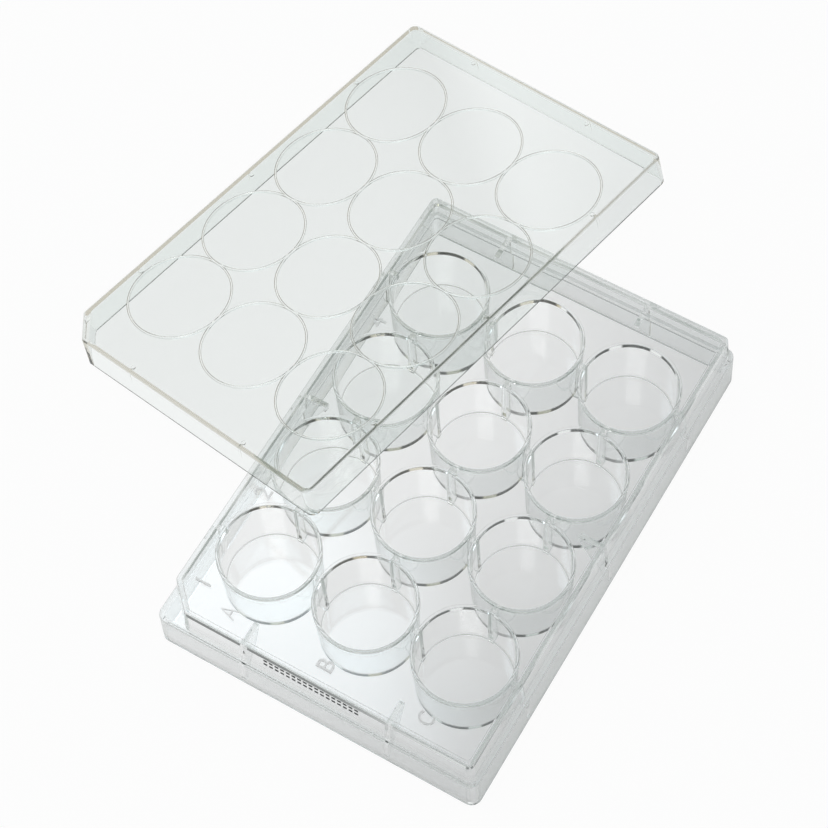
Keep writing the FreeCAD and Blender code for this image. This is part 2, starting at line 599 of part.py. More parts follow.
def corner_gap(place):
    """Height of the underside of the lid's top above the frame's far left corner."""
    radius = number(f"(Sizes.frame_corner - {FRAME_TAPER})")
    normal = place.Rotation.multVec(FreeCAD.Vector(0, 0, 1))
    flat = FreeCAD.Vector(normal.x, normal.y, 0).normalize()
    corner = FreeCAD.Vector(number(TOP_HALF["x"]) - radius, number(TOP_HALF["y"]) - radius,
                            frame_top) + flat * (radius - number("Sizes.frame_round") / 2)
    under = place.multVec(FreeCAD.Vector(0, 0, -number("Sizes.lid_panel")))
    rise = (under - corner).dot(normal)
    return rise / normal.z


def edge_gap(place):
    """Height of the near wall's lower edge where it crosses the frame's left side."""
    side = number(TOP_HALF["y"]) - number("Sizes.frame_round") / 2
    half_width = number(LID_INNER["y"])
    low = -number("Sizes.lid_height")
    first = place.multVec(FreeCAD.Vector(-number(LID_INNER["x"]), half_width, low))
    last = place.multVec(FreeCAD.Vector(-number(LID_INNER["x"]), -half_width, low))
    share = (first.y - side) / (first.y - last.y)
    return (first + (last - first) * share).z - frame_top


def settle():
    """The placement at which all three gaps have their stated size, by Newton's method."""
    wanted = number("Sizes.lean_gap")
    pose = [number("Sizes.frame_height"), -12.0, 3.0]
    for _ in range(12):
        place = lean(*pose)
        errors = [gap(place) - wanted for gap in (table_gap, corner_gap, edge_gap)]
        slopes = []
        for index in range(3):
            nudged = list(pose)
            nudged[index] += 0.01
            moved = lean(*nudged)
            slopes.append([(gap(moved) - wanted - error) / 0.01 for gap, error in
                           zip((table_gap, corner_gap, edge_gap), errors)])
        columns = [FreeCAD.Vector(*slope) for slope in slopes]
        target = FreeCAD.Vector(*errors)
        scale = columns[0].dot(columns[1].cross(columns[2]))
        pose[0] -= target.dot(columns[1].cross(columns[2])) / scale
        pose[1] -= columns[0].dot(target.cross(columns[2])) / scale
        pose[2] -= columns[0].dot(columns[1].cross(target)) / scale
    return lean(*pose)


lid.Placement = settle()
doc.recompute()

# ---------------------------------------------------------------------------------------------
# Checks and files
# ---------------------------------------------------------------------------------------------

for item in doc.Objects:
    if "Invalid" in item.State or "Error" in item.State:
        raise RuntimeError(f"{item.Name} failed: {item.State}")
for body in (plate, lid):
    if body.Shape.isNull() or not body.Shape.isValid() or len(body.Shape.Solids) != 1:
        raise RuntimeError(f"{body.Label} is not one sound solid")

os.makedirs("parts", exist_ok=True)
for body in (plate, lid):
    body.Shape.exportStep(f"parts/{body.Label}.step")
    print(body.Label, round(body.Shape.Volume, 1), "mm3", body.Shape.BoundBox)
print("lid", lid.Placement)
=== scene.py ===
import math

import bmesh
import bpy
from mathutils import Euler, Matrix, Vector


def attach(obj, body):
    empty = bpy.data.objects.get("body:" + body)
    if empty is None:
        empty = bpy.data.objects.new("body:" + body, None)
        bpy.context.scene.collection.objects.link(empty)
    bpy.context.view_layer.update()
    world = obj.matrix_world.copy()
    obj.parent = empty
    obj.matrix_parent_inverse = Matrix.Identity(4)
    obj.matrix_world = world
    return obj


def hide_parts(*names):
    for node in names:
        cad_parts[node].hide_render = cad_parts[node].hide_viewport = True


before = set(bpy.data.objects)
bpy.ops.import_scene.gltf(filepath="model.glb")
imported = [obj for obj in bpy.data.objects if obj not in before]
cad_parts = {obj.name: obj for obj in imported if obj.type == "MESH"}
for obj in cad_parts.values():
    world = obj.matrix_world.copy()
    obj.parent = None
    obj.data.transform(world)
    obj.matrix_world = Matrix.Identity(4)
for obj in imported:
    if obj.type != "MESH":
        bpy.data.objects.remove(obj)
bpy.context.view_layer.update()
MM = 0.001


# ---------------------------------------------------------------------------------------------
# Clear polystyrene, the one plastic of both mouldings. It is injection moulded in a polished
# tool, so the eye gets hard bright reflections, dark refracted edges and a faint grey-green cast
# where it looks along a wall.
# ---------------------------------------------------------------------------------------------

def linear(hex_colour):
    """The linear colour of an sRGB hex value."""
    channels = [int(hex_colour[i:i + 2], 16) / 255 for i in (1, 3, 5)]
    return [c / 12.92 if c <= 0.04045 else ((c + 0.055) / 1.055) ** 2.4 for c in channels] + [1]


def add_node(tree, kind, settings=(), links=()):
    """One node with its settings, by input name or attribute, and the sockets feeding it."""
    node = tree.nodes.new(kind)
    for key, value in dict(settings).items():
        if isinstance(key, int) or key in node.inputs:
            node.inputs[key].default_value = value
        else:
            setattr(node, key, value)
    for key, socket in dict(links).items():
        tree.links.new(socket, node.inputs[key])
    return node


def plastic(name, face, tint, density, loss):
    """Clear polystyrene: what each face passes on, its cast at a density per metre, and the
    loss of light that has been caught between faces."""
    material = bpy.data.materials.new(name)
    material.use_nodes = True
    tree = material.node_tree
    tree.nodes.clear()
    # Matt places show grey beside the polish, such as the tops of the raised signs, the outside
    # of the skirt and the lid's rounded edge. Elsewhere frost is 0.
    frost = add_node(tree, "ShaderNodeAttribute", {"attribute_name": "frost"})
    clear = add_node(tree, "ShaderNodeBsdfPrincipled", {
        "Base Color": linear(face),
        "IOR": 1.59,
        "Transmission Weight": 1.0,
    }, {"Roughness": frost.outputs["Fac"]})
    # Light that a thin wall has passed on from face to face a few times leaks out with a loss.
    leak = add_node(tree, "ShaderNodeBsdfTransparent", {"Color": linear(loss)})
    path = add_node(tree, "ShaderNodeLightPath")
    trapped = add_node(tree, "ShaderNodeMath", {"operation": "GREATER_THAN", 1: 2.5},
                       {0: path.outputs["Glossy Depth"]})
    surface = add_node(tree, "ShaderNodeMixShader", {}, {
        0: trapped.outputs[0], 1: clear.outputs[0], 2: leak.outputs[0]})
    volume = add_node(tree, "ShaderNodeVolumeAbsorption", {
        "Color": linear(tint), "Density": density})
    add_node(tree, "ShaderNodeOutputMaterial", {}, {
        "Surface": surface.outputs[0], "Volume": volume.outputs[0]})
    return material


plate_plastic = plastic("clear_moulded_polystyrene_plate", "#fafbfb", "#a9bcb8", 6.0, "#f3f5f4")
lid_plastic = plastic("clear_moulded_polystyrene_lid", "#fbfefd", "#b4b8a8", 14.0, "#f3efe6")


# ---------------------------------------------------------------------------------------------
# The plate's frame: a stepped skirt with a flat ledge, and above it a thin wall with one cut
# corner, a little higher than the deck. It is hollow from below, and one injection moulding
# with the wells, webs, gussets and signs.
# ---------------------------------------------------------------------------------------------

# Sizes are in millimetres, and X and Y are half widths.
FOOT_X, FOOT_Y = 63.88, 42.74
SKIRT_HEIGHT = 11.3
SKIRT_DRAFT = math.tan(math.radians(1.2))
LEDGE = 1.0
FRAME_TOP = 19.5
FRAME_DRAFT = math.tan(math.radians(5.2))
FRAME_WALL = 1.35
DECK_TOP = 18.2
DECK_UNDER = 17.0
NOTCH_LEG = 6.9
LEG_SHARE = 2 - math.sqrt(2)  # how much shorter a cut corner's leg gets per millimetre of inset
INTO_SKIRT = SKIRT_HEIGHT - 0.5  # where the wall's solid starts, inside the skirt
EDGE_ROUND = 0.3
FOOT_ROUND = 0.2
SKIRT_CORNER, WALL_CORNER, TOP_CORNER, RECESS_CORNER = 2.6, 1.9, 1.3, 0.9
SKIRT_HOLLOW_CORNER, WALL_HOLLOW_CORNER, CEILING_CORNER = 1.3, 1.0, 0.6
CORNER_STEPS = 10
CUT_ROUND, CUT_BEND, CUT_STEPS = 1.2, 45, 3
FRAME_X = FOOT_X - SKIRT_HEIGHT * SKIRT_DRAFT - LEDGE
FRAME_Y = FOOT_Y - SKIRT_HEIGHT * SKIRT_DRAFT - LEDGE


def outline(half_x, half_y, corner, z, leg=0.0):
    """A level ring of points: a rectangle with round corners and, at -X +Y, a cut one."""
    ring = []
    for sign_x, sign_y, start in ((1, 1, 0), (-1, 1, 90), (-1, -1, 180), (1, -1, 270)):
        if leg and (sign_x, sign_y) == (-1, 1):
            ring += cut_corner(half_x, half_y, leg, corner)
            continue
        for step in range(CORNER_STEPS + 1):
            angle = math.radians(start + 90 * step / CORNER_STEPS)
            ring.append((sign_x * (half_x - corner) + corner * math.cos(angle),
                         sign_y * (half_y - corner) + corner * math.sin(angle)))
    return [Vector((x, y, z)) * MM for x, y in ring]


def cut_corner(half_x, half_y, leg, corner):
    """The points of the cut corner, each of its two bends slightly rounded."""
    points = []
    radius = min(corner, CUT_ROUND)
    reach = radius / math.cos(math.radians(CUT_BEND / 2))
    for spot, start in (((leg - half_x, half_y), 90), ((-half_x, half_y - leg), 90 + CUT_BEND)):
        middle = math.radians(start + CUT_BEND / 2)
        centre = (spot[0] - reach * math.cos(middle), spot[1] - reach * math.sin(middle))
        for step in range(CUT_STEPS + 1):
            angle = math.radians(start + CUT_BEND * step / CUT_STEPS)
            points.append((centre[0] + radius * math.cos(angle),
                           centre[1] + radius * math.sin(angle)))
    return points


def solid(name, points, faces):
    """A new piece from its points and faces."""
    mesh = bpy.data.meshes.new(name)
    mesh.from_pydata(points, [], faces)
    piece = bpy.data.objects.new(name, mesh)
    bpy.context.collection.objects.link(piece)
    return piece


def loft(name, rings):
    """A closed solid through level rings of points, lowest first."""
    count = len(rings[0])
    points = [point for ring in rings for point in ring]
    faces = [list(range(count))[::-1], [len(points) - count + i for i in range(count)]]
    for level in range(len(rings) - 1):
        low, high = level * count, (level + 1) * count
        faces += [[low + i, low + (i + 1) % count, high + (i + 1) % count, high + i]
                  for i in range(count)]
    return solid(name, points, faces)


def settle(piece):
    """Make what a piece's modifiers give its own mesh."""
    graph = bpy.context.evaluated_depsgraph_get()
    mesh = bpy.data.meshes.new_from_object(piece.evaluated_get(graph))
    piece.modifiers.clear()
    piece.data = mesh


def combine(piece, tools, operation):
    """Join tools to a piece, or cut them out of it, and drop them."""
    for tool in tools:
        step = piece.modifiers.new("combine", "BOOLEAN")
        step.operation = operation
        step.solver = "MANIFOLD"
        step.object = tool
    settle(piece)
    for tool in tools:
        bpy.data.objects.remove(tool)


def rounding(radius, steps=4):
    """Pairs of how far in and how far up a rounded edge has gone, from its start."""
    turns = [math.radians(90 * step / steps) for step in range(steps + 1)]
    return [(radius * (1 - math.cos(turn)), radius * math.sin(turn)) for turn in turns]


# The outside of the skirt, with its rounded foot and ledge.
rings = [outline(FOOT_X - FOOT_ROUND + up, FOOT_Y - FOOT_ROUND + up, SKIRT_CORNER, inward)
         for inward, up in rounding(FOOT_ROUND)]
ledge_x = FOOT_X - SKIRT_HEIGHT * SKIRT_DRAFT
ledge_y = FOOT_Y - SKIRT_HEIGHT * SKIRT_DRAFT
rings += [outline(ledge_x - inward, ledge_y - inward, SKIRT_CORNER - inward,
                  SKIRT_HEIGHT - EDGE_ROUND + up) for inward, up in rounding(EDGE_ROUND)]
plate = loft("well_plate", rings)

# The wall above the ledge. Its top edge is rounded on both sides.
top_x = FRAME_X - (FRAME_TOP - SKIRT_HEIGHT) * FRAME_DRAFT
top_y = FRAME_Y - (FRAME_TOP - SKIRT_HEIGHT) * FRAME_DRAFT
top_leg = NOTCH_LEG - LEG_SHARE * (FRAME_TOP - SKIRT_HEIGHT) * FRAME_DRAFT
rings = [outline(FRAME_X, FRAME_Y, WALL_CORNER, INTO_SKIRT, NOTCH_LEG)]
rings += [outline(top_x - inward, top_y - inward, TOP_CORNER - inward,
                  FRAME_TOP - EDGE_ROUND + up, top_leg - LEG_SHARE * inward)
          for inward, up in rounding(EDGE_ROUND)]
wall = loft("frame_wall", rings)
combine(plate, [wall], "UNION")

# The recess over the deck.
inner_x, inner_y = top_x - FRAME_WALL, top_y - FRAME_WALL
inner_leg = top_leg - LEG_SHARE * FRAME_WALL
rings = [outline(inner_x, inner_y, RECESS_CORNER, DECK_TOP, inner_leg)]
rings += [outline(inner_x + out, inner_y + out, RECESS_CORNER + out, FRAME_TOP - EDGE_ROUND + up,
                  inner_leg + LEG_SHARE * out) for out, up in rounding(EDGE_ROUND)]
rings.append(outline(inner_x + EDGE_ROUND, inner_y + EDGE_ROUND, RECESS_CORNER + EDGE_ROUND,
                     FRAME_TOP + 1, inner_leg + LEG_SHARE * EDGE_ROUND))
recess = loft("recess", rings)

# The hollow below, wide inside the skirt and narrower up to the deck.
ceiling = SKIRT_HEIGHT - FRAME_WALL
hollow_x, hollow_y = FOOT_X - FRAME_WALL, FOOT_Y - FRAME_WALL
skirt_hollow = loft("skirt_hollow", [
    outline(hollow_x + 0.02, hollow_y + 0.02, SKIRT_HOLLOW_CORNER, -1),
    outline(hollow_x, hollow_y, SKIRT_HOLLOW_CORNER, 0),
    outline(hollow_x - ceiling * SKIRT_DRAFT, hollow_y - ceiling * SKIRT_DRAFT,
            SKIRT_HOLLOW_CORNER, ceiling),
])
inset = FRAME_WALL * (1 - FRAME_DRAFT)
rise = DECK_UNDER - ceiling
frame_hollow = loft("frame_hollow", [
    outline(FRAME_X - inset + FRAME_DRAFT, FRAME_Y - inset + FRAME_DRAFT, WALL_HOLLOW_CORNER,
            ceiling - 1, NOTCH_LEG - LEG_SHARE * inset),
    outline(FRAME_X - inset - rise * FRAME_DRAFT, FRAME_Y - inset - rise * FRAME_DRAFT,
            CEILING_CORNER, DECK_UNDER, NOTCH_LEG - LEG_SHARE * (inset + rise * FRAME_DRAFT)),
])
combine(plate, [recess, skirt_hollow, frame_hollow], "DIFFERENCE")


# ---------------------------------------------------------------------------------------------
# The twelve wells: round cups with a flat floor, standing clear of the table, each with a low
# raised rim on the deck. Thin webs tie every cup to its neighbours.
# ---------------------------------------------------------------------------------------------

PITCH = 26.01
COLUMNS, ROWS = 4, 3
MOUTH, FLOOR = 11.585, 11.25
WELL_WALL = 0.6
RIM_TOP = DECK_TOP + 0.57
RIM_OUT = MOUTH + 0.83
RIM_ROUND = 0.2
CUP_UNDER = 2.2
CUP_ROUND = 0.35
WEB = 1.4
WEB_UNDER = 1.4
INTO_DECK = DECK_TOP - 0.6  # where shapes that join the deck from below end inside it
TURN_STEPS = 128


def turned(name, profile):
    """A closed solid turned from a profile of (radius, height), bottom first, axis to axis."""
    points = [Vector((0, 0, profile[0][1])) * MM]
    for radius, height in profile[1:-1]:
        for step in range(TURN_STEPS):
            angle = 2 * math.pi * step / TURN_STEPS
            points.append(Vector((radius * math.cos(angle), radius * math.sin(angle), height)) * MM)
    points.append(Vector((0, 0, profile[-1][1])) * MM)
    last = len(points) - 1
    faces = []
    for step in range(TURN_STEPS):
        after = (step + 1) % TURN_STEPS
        faces.append([0, 1 + after, 1 + step])
        for level in range(len(profile) - 3):
            low = 1 + level * TURN_STEPS
            high = low + TURN_STEPS
            faces.append([low + step, low + after, high + after, high + step])
        high = 1 + (len(profile) - 3) * TURN_STEPS
        faces.append([high + step, high + after, last])
    return solid(name, points, faces)


def grid_tree():
    """Geometry nodes that repeat a shape on a grid round the origin and join what meets."""
    tree = bpy.data.node_groups.new("repeat_on_grid", "GeometryNodeTree")
    tree.interface.new_socket("Geometry", in_out="INPUT", socket_type="NodeSocketGeometry")
    for name in ("Columns", "Rows"):
        tree.interface.new_socket(name, in_out="INPUT", socket_type="NodeSocketInt")
    for name in ("Spacing X", "Spacing Y"):
        tree.interface.new_socket(name, in_out="INPUT", socket_type="NodeSocketFloat")
    tree.interface.new_socket("Material", in_out="INPUT", socket_type="NodeSocketMaterial")
    tree.interface.new_socket("Geometry", in_out="OUTPUT", socket_type="NodeSocketGeometry")
    given = add_node(tree, "NodeGroupInput").outputs
    lines = []
    for count, spacing, axis in (("Columns", "Spacing X", "X"), ("Rows", "Spacing Y", "Y")):
        gaps = add_node(tree, "ShaderNodeMath", {"operation": "SUBTRACT", 1: 1.0},
                        {0: given[count]})
        reach = add_node(tree, "ShaderNodeMath", {"operation": "MULTIPLY"},
                         {0: gaps.outputs[0], 1: given[spacing]})
        lines.append(reach.outputs[0])
    points = add_node(tree, "GeometryNodeMeshGrid", {}, {
        "Size X": lines[0], "Size Y": lines[1],
        "Vertices X": given["Columns"], "Vertices Y": given["Rows"]})
    copies = add_node(tree, "GeometryNodeInstanceOnPoints", {}, {
        "Points": points.outputs["Mesh"], "Instance": given["Geometry"]})
    joined = add_node(tree, "GeometryNodeMeshBoolean",
                      {"operation": "UNION", "solver": "MANIFOLD"}, {1: copies.outputs[0]})
    real = add_node(tree, "GeometryNodeRealizeInstances", {}, {"Geometry": joined.outputs[0]})
    finish = add_node(tree, "GeometryNodeSetMaterial", {}, {
        "Geometry": real.outputs[0], "Material": given["Material"]})
    add_node(tree, "NodeGroupOutput", {}, {"Geometry": finish.outputs[0]})
    return tree


REPEAT = grid_tree()


def on_grid(piece, columns, rows, spacing_x, spacing_y, material):
    """Replace a piece by copies of it on a centred grid."""
    modifier = piece.modifiers.new("repeat", "NODES")
    modifier.node_group = REPEAT
    values = {"Columns": columns, "Rows": rows, "Spacing X": spacing_x * MM,
              "Spacing Y": spacing_y * MM, "Material": material}
    for item in REPEAT.interface.items_tree:
        if item.in_out == "INPUT" and item.name in values:
            modifier[item.identifier] = values[item.name]
    settle(piece)
    return piece


def block(name, half_x, half_y, low, high, x=0.0, y=0.0):
    """A plain box round (x, y)."""
    corners = ((1, 1), (-1, 1), (-1, -1), (1, -1))
    return loft(name, [[Vector((x + half_x * a, y + half_y * b, z)) * MM for a, b in corners]
                       for z in (low, high)])


profile = [(0, CUP_UNDER)]
profile += [(FLOOR + WELL_WALL - CUP_ROUND + up, CUP_UNDER + inward)
            for inward, up in rounding(CUP_ROUND)]
profile += [(MOUTH + WELL_WALL, DECK_UNDER), (MOUTH + WELL_WALL, INTO_DECK),
            (RIM_OUT, INTO_DECK)]
profile += [(RIM_OUT - inward, RIM_TOP - RIM_ROUND + up) for inward, up in rounding(RIM_ROUND)]
profile.append((0, RIM_TOP))
cups = on_grid(turned("cups", profile), COLUMNS, ROWS, PITCH, PITCH, plate_plastic)

web_half = PITCH / 2 - FLOOR - WELL_WALL / 2
row_webs = on_grid(block("row_webs", web_half, WEB / 2, WEB_UNDER, INTO_DECK),
                   COLUMNS - 1, ROWS, PITCH, PITCH, plate_plastic)
column_webs = on_grid(block("column_webs", WEB / 2, web_half, WEB_UNDER, INTO_DECK),
                      COLUMNS, ROWS - 1, PITCH, PITCH, plate_plastic)
combine(plate, [cups, row_webs, column_webs], "UNION")


# ---------------------------------------------------------------------------------------------
# Ten gussets under the deck brace the outer walls. They are thin upright plates of the same
# moulding, wide at the deck and narrow at the foot of the skirt.
# ---------------------------------------------------------------------------------------------

GUSSET = 1.3
GUSSET_REACH = 6.7
GUSSET_TIP = DECK_UNDER - 0.6
GUSSET_UNDER = 2.0
GUSSET_OFFSET = 19.2
WELL_GUSSET_START = PITCH + 12.0


def outward(piece):
    """Turn a closed piece's faces outwards."""
    made = bmesh.new()
    made.from_mesh(piece.data)
    bmesh.ops.recalc_face_normals(made, faces=made.faces)
    made.to_mesh(piece.data)
    made.free()
    return piece


def upright(name, shape, thickness, along, side, offset):
    """A thin upright plate that crosses a wall, from its outline of (reach, height). Along is
    the axis that it runs in."""
    rings = []
    for across in (-thickness / 2, thickness / 2):
        if along == "x":
            ring = [Vector((side * reach, offset + across, z)) * MM for reach, z in shape]
        else:
            ring = [Vector((offset + across, side * reach, z)) * MM for reach, z in shape]
        rings.append(ring)
    return outward(loft(name, rings))


def gusset(name, along, inner, top_half, foot_half, side, offset):
    """One gusset, from inner to the middle of the wall."""
    step = SKIRT_HEIGHT - FRAME_WALL / 2
    lower = foot_half - SKIRT_HEIGHT * SKIRT_DRAFT - LEDGE / 2
    upper = top_half - FRAME_WALL / 4
    shape = [(inner, GUSSET_TIP), (lower - FRAME_WALL, GUSSET_UNDER), (lower, GUSSET_UNDER),
             (lower, step), (upper, step), (upper, INTO_DECK), (inner, INTO_DECK)]
    return upright(name, shape, GUSSET, along, side, offset)


gussets = []
for side in (-1, 1):
    for offset in (-GUSSET_OFFSET, GUSSET_OFFSET):
        gussets.append(gusset("end_gusset", "x", top_x - GUSSET_REACH, top_x, FOOT_X, side, offset))
    gussets.append(gusset("middle_gusset", "y", top_y - GUSSET_REACH, top_y, FOOT_Y, side, 0.0))
    for offset in (-1.5 * PITCH, 1.5 * PITCH):
        gussets.append(gusset("well_gusset", "y", WELL_GUSSET_START, top_y, FOOT_Y, side, offset))
combine(plate, gussets, "UNION")


# ---------------------------------------------------------------------------------------------
# The insides of the wells, with a rounded foot and a rounded mouth. The tool's polished pins
# form them, and they are cut last, so webs and gussets end at the cups.
# ---------------------------------------------------------------------------------------------

FLOOR_TOP = 3.35
FLOOR_ROUND = 0.5
profile = [(0, FLOOR_TOP)]
profile += [(FLOOR - FLOOR_ROUND + up, FLOOR_TOP + inward) for inward, up in rounding(FLOOR_ROUND)]
profile += [(MOUTH + out, RIM_TOP - RIM_ROUND + up) for out, up in rounding(RIM_ROUND)]
profile += [(MOUTH + RIM_ROUND, RIM_TOP + 1), (0, RIM_TOP + 1)]
bores = on_grid(turned("bores", profile), COLUMNS, ROWS, PITCH, PITCH, plate_plastic)
combine(plate, [bores], "DIFFERENCE")


# ---------------------------------------------------------------------------------------------
# Row letters A to C and column numbers 1 to 4 stand up a quarter of a millimetre from the deck.
# They are etched into the tool, so their tops are matt and show grey beside the polished deck.
# ---------------------------------------------------------------------------------------------

GLYPH_RISE = 0.25
GLYPH_HEIGHT = 4.0
GLYPH_WIDTH = 2.6
LETTER_OUT = 17.3
NUMBER_BESIDE, NUMBER_ABOVE = 13.9, 9.1
FINER_STROKE = -0.016  # in text units, it keeps the opening of the A


def raised(sign, x, y):
    """One letter or number as a solid that reaches into the deck, its middle at (x, y)."""
    curve = bpy.data.curves.new(f"glyph_{sign}", "FONT")
    curve.body = sign
    curve.extrude = 1.0
    curve.offset = FINER_STROKE if sign == "A" else 0.0
    text = bpy.data.objects.new(f"glyph_{sign}", curve)
    bpy.context.collection.objects.link(text)
    graph = bpy.context.evaluated_depsgraph_get()
    mesh = bpy.data.meshes.new_from_object(text.evaluated_get(graph))
    bpy.data.objects.remove(text)
    made = bmesh.new()
    made.from_mesh(mesh)
    bmesh.ops.remove_doubles(made, verts=made.verts, dist=1e-5)
    low = [min(vert.co[axis] for vert in made.verts) for axis in range(3)]
    high = [max(vert.co[axis] for vert in made.verts) for axis in range(3)]
    width = min(GLYPH_WIDTH, GLYPH_HEIGHT * (high[0] - low[0]) / (high[1] - low[1]))
    for vert in made.verts:
        share = [(vert.co[axis] - low[axis]) / (high[axis] - low[axis]) for axis in range(3)]
        vert.co = Vector((x + (share[0] - 0.5) * width, y + (share[1] - 0.5) * GLYPH_HEIGHT,
                          DECK_TOP + (2 * share[2] - 1) * GLYPH_RISE)) * MM
    bmesh.ops.recalc_face_normals(made, faces=made.faces)
    made.to_mesh(mesh)
    made.free()
    piece = bpy.data.objects.new(f"glyph_{sign}", mesh)
    bpy.context.collection.objects.link(piece)
    return piece


first_x, first_y = -1.5 * PITCH, PITCH
glyphs = [raised(sign, first_x - LETTER_OUT, first_y - row * PITCH)
          for row, sign in enumerate("ABC")]
glyphs += [raised(sign, first_x + column * PITCH - NUMBER_BESIDE, first_y + NUMBER_ABOVE)
           for column, sign in enumerate("1234")]
combine(plate, glyphs, "UNION")


# ---------------------------------------------------------------------------------------------
# The plate as it leaves the mould, one clear solid. The tool is polished where one looks into
# the wells and slightly blasted round the outside, so the skirt and the wall are a little matt.
# ---------------------------------------------------------------------------------------------

SIGN_FROST, SKIRT_FROST, WALL_FROST = 0.6, 0.25, 0.1
SKIRT_WITHIN = 0.5  # the skirt's outside stays this near to the foot's outline
WALL_FROM, WALL_TO = 1.0, 2.5  # and the wall's outside between these
LEVEL, UPRIGHT, WALL_SLOPE = 0.99, 0.1, (0.05, 0.2)  # the heights of their faces' normals


def plate_frost(middle, normal):
    """How matt a face is: the tops of the signs most, then the outside of the skirt and of the
    wall above it."""
    if normal.z > LEVEL and abs(middle.z / MM - DECK_TOP - GLYPH_RISE) < GLYPH_RISE / 10:
        return SIGN_FROST
    inside = min(FOOT_X - abs(middle.x) / MM, FOOT_Y - abs(middle.y) / MM)
    if inside < SKIRT_WITHIN and abs(normal.z) < UPRIGHT:
        return SKIRT_FROST
    if WALL_FROM < inside < WALL_TO and WALL_SLOPE[0] < normal.z < WALL_SLOPE[1]:
        return WALL_FROST
    return 0.0


def frosted(piece, amount):
    """Store on each face how matt it is, from the place of its middle and its direction."""
    marks = piece.data.attributes.new("frost", "FLOAT", "FACE")
    for face, mark in zip(piece.data.polygons, marks.data):
        mark.value = amount(face.center, face.normal)


CRISP_FROM = math.radians(35)


def polish(piece, material):
    """One plastic all over, shaded smooth with crisp edges and with its flat faces kept flat."""
    mesh = piece.data
    mesh.materials.clear()
    mesh.materials.append(material)
    mesh.polygons.foreach_set("material_index", [0] * len(mesh.polygons))
    mesh.shade_smooth()
    mesh.set_sharp_from_angle(angle=CRISP_FROM)
    even = piece.modifiers.new("even", "WEIGHTED_NORMAL")
    even.mode = "FACE_AREA"
    even.weight = 100
    even.keep_sharp = True
    settle(piece)


polish(plate, plate_plastic)
frosted(plate, plate_frost)
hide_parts("plate")
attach(plate, "root")


# ---------------------------------------------------------------------------------------------
# Two rows of small plain dashes stand for the ink print on the upper wall of the A to C end.
# The ink is a matt black film that lies a little unevenly on the polished plastic.
# ---------------------------------------------------------------------------------------------

def ink():
    """Matt black printing ink, thinner in blotches of about a millimetre."""
    material = bpy.data.materials.new("black_printing_ink")
    material.use_nodes = True
    tree = material.node_tree
    shader = tree.nodes["Principled BSDF"]
    shader.inputs["Roughness"].default_value = 0.6
    where = add_node(tree, "ShaderNodeTexCoord").outputs["Object"]
    blotches = add_node(tree, "ShaderNodeTexNoise", {"Scale": 900.0, "Detail": 1.0},
                        {"Vector": where})
    colours = add_node(tree, "ShaderNodeValToRGB", {}, {0: blotches.outputs[0]})
    colours.color_ramp.elements[0].color = linear("#0e1011")
    colours.color_ramp.elements[1].color = linear("#34383a")
    tree.links.new(colours.outputs[0], shader.inputs["Base Color"])
    return material


DASH, DASH_PITCH, DASHES = 0.95, 1.5, 17
DASH_HEIGHT, LINE_PITCH, PRINT_LINES = 0.65, 1.6, 2
INK_FILM = 0.03
PRINT_Y, PRINT_Z = 0.7, 16.5
dashes = on_grid(block("dashes", DASH_HEIGHT / 2, DASH / 2, -INK_FILM, INK_FILM),
                 PRINT_LINES, DASHES, LINE_PITCH, DASH_PITCH, ink())
lean = math.atan(FRAME_DRAFT)
up_wall = Vector((math.sin(lean), 0, math.cos(lean)))
off_wall = Vector((-math.cos(lean), 0, math.sin(lean)))
onto_wall = Matrix((up_wall, Vector((0, 1, 0)), off_wall)).transposed().to_4x4()
print_x = -(FRAME_X - (PRINT_Z - SKIRT_HEIGHT) * FRAME_DRAFT)
dashes.data.transform(Matrix.Translation(Vector((print_x, PRINT_Y, PRINT_Z)) * MM) @ onto_wall)
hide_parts("plate")
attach(dashes, "root")


# ---------------------------------------------------------------------------------------------
# The lid: a flat top with a short drafted skirt and the same cut corner, one moulding of the
# same clear plastic. It has been lifted off and leans on the plate, its far corner on the table.
# ---------------------------------------------------------------------------------------------

LID_HEIGHT = 9.0
PANEL = 1.25
LID_PLAY = 0.2
LID_EDGE = 0.76
LID_DRAFT = math.tan(math.radians(2))
LID_CORNER = 2.1
LID_LEG = 6.5
LID_ROUND = 0.8
LIP_ROUND = 0.15
NUB_HEIGHT = 0.3
lid_depth = LID_HEIGHT - PANEL
growth = (lid_depth - NUB_HEIGHT) * FRAME_DRAFT + LID_PLAY
lid_in_x, lid_in_y = top_x + growth, top_y + growth
lid_out_x, lid_out_y = lid_in_x + LID_EDGE, lid_in_y + LID_EDGE
lid_in_leg = top_leg + LEG_SHARE * growth

rings = [outline(lid_out_x - LIP_ROUND + up, lid_out_y - LIP_ROUND + up, LID_CORNER,
                 -LID_HEIGHT + inward, LID_LEG) for inward, up in rounding(LIP_ROUND, 3)]
drawn_in = LID_HEIGHT * LID_DRAFT
rings += [outline(lid_out_x - drawn_in - inward, lid_out_y - drawn_in - inward,
                  LID_CORNER - inward, -LID_ROUND + up,
                  LID_LEG - LEG_SHARE * (drawn_in + inward))
          for inward, up in rounding(LID_ROUND, 5)]
lid = loft("loose_lid", rings)

shrink = lid_depth * FRAME_DRAFT
hollow = loft("lid_hollow", [
    outline(lid_in_x + FRAME_DRAFT, lid_in_y + FRAME_DRAFT, LID_CORNER - LID_EDGE,
            -LID_HEIGHT - 1, lid_in_leg),
    outline(lid_in_x - shrink, lid_in_y - shrink, LID_CORNER - LID_EDGE, -PANEL,
            lid_in_leg - LEG_SHARE * shrink),
])
combine(lid, [hollow], "DIFFERENCE")

